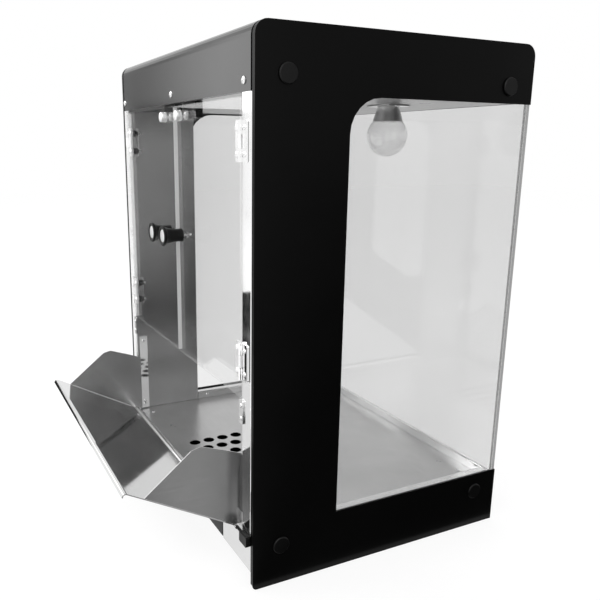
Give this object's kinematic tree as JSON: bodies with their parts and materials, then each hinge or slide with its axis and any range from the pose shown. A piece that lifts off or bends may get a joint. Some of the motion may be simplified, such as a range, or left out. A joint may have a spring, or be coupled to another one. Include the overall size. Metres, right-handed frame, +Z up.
{
  "type": "popcorn display cabinet",
  "caption": "Countertop popcorn display cabinet with glass sides and back, paired glass front doors, a tilt-out serving tray, a perforated floor over a crumb drawer, and a lamp.",
  "frame": {"origin": "middle of the footprint, at the base the cabinet stands on", "axes": "+Z up, -Y towards the doors and the serving tray, +X to the right when facing the doors"},
  "size_m": [0.5058, 0.5358, 0.65],
  "materials": {
    "black_paint": "semi-gloss black coating",
    "brushed_sheet": "fine grained stainless sheet",
    "polished_sheet": "mirror-like stainless sheet",
    "sheet_glass": "clear, polished edges",
    "lamp_glass": "clear blown glass",
    "lamp_cap_metal": "plain",
    "black_plastic": "moulded black",
    "chrome_hardware": "bright plated",
    "white_plastic": "matt white"
  },
  "bodies": {
    "cabinet": {"roof_cover": "black_paint", "rear_apron": "black_paint", "side_panel_left": "black_paint", "side_panel_right": "black_paint", "ceiling_panel": "brushed_sheet", "base_pan": "brushed_sheet", "perforated_floor": "brushed_sheet", "column_liner_left": "brushed_sheet", "column_liner_right": "brushed_sheet", "glass_rail_rear": "polished_sheet", "front_apron": "polished_sheet", "lamp_plate": "polished_sheet", "glass_rail_left": "polished_sheet", "front_post_left": "polished_sheet", "tray_guide_left": "polished_sheet", "side_glass_left": "sheet_glass", "magnetic_catch_left": "black_plastic", "tray_pivot_left": "black_plastic", "tray_catch_left": "chrome_hardware", "hinge_post_leaf_left_upper": "chrome_hardware", "hinge_post_leaf_left_lower": "chrome_hardware", "panel_cap_left_bottom_front": "black_plastic", "panel_cap_left_bottom_rear": "black_plastic", "panel_cap_left_top_front": "black_plastic", "panel_cap_left_top_rear": "black_plastic", "glass_rail_right": "polished_sheet", "front_post_right": "polished_sheet", "tray_guide_right": "polished_sheet", "side_glass_right": "sheet_glass", "magnetic_catch_right": "black_plastic", "tray_pivot_right": "black_plastic", "tray_catch_right": "chrome_hardware", "hinge_post_leaf_right_upper": "chrome_hardware", "hinge_post_leaf_right_lower": "chrome_hardware", "panel_cap_right_bottom_front": "black_plastic", "panel_cap_right_bottom_rear": "black_plastic", "panel_cap_right_top_front": "black_plastic", "panel_cap_right_top_rear": "black_plastic", "rear_glass": "sheet_glass", "bulb_globe": "lamp_glass", "bulb_cap": "lamp_cap_metal", "lamp_holder": "white_plastic", "terminal_block": "white_plastic", "mains_inlet": "black_plastic", "switch_frame": "black_plastic"},
    "door_left": {"door_glass_left": "sheet_glass", "door_knob_left": "black_plastic", "door_strike_left": "chrome_hardware", "hinge_door_leaf_left_upper": "chrome_hardware", "hinge_door_leaf_left_lower": "chrome_hardware"},
    "door_right": {"door_glass_right": "sheet_glass", "door_knob_right": "black_plastic", "door_strike_right": "chrome_hardware", "hinge_door_leaf_right_upper": "chrome_hardware", "hinge_door_leaf_right_lower": "chrome_hardware"},
    "tray": {"tray_panel": "polished_sheet", "tray_wing_left": "brushed_sheet", "tray_wing_right": "brushed_sheet"},
    "drawer": {"crumb_drawer": "black_paint"},
    "rocker": {"switch_rocker": "black_plastic"}
  },
  "joints": [
    {"name": "left_door_hinge", "type": "hinge", "parent": "cabinet", "child": "door_left", "pos_m": [-0.2203, -0.12498, 0.408], "axis": [0, 0, -1], "range_deg": [0, 165]},
    {"name": "right_door_hinge", "type": "hinge", "parent": "cabinet", "child": "door_right", "pos_m": [0.2203, -0.12498, 0.408], "axis": [0, 0, 1], "range_deg": [0, 165]},
    {"name": "tray_tilt", "type": "hinge", "parent": "cabinet", "child": "tray", "pos_m": [0, -0.12598, 0.0675], "axis": [-1, 0, 0], "range_deg": [0, 61.2]},
    {"name": "crumb_drawer_slide", "type": "slide", "parent": "cabinet", "child": "drawer", "axis": [0, -1, 0], "range_m": [0, 0.15]},
    {"name": "switch_rocker_tilt", "type": "hinge", "parent": "cabinet", "child": "rocker", "pos_m": [0.088, 0.26292, 0.614], "axis": [1, 0, 0], "range_deg": [0, 14]}
  ]
}
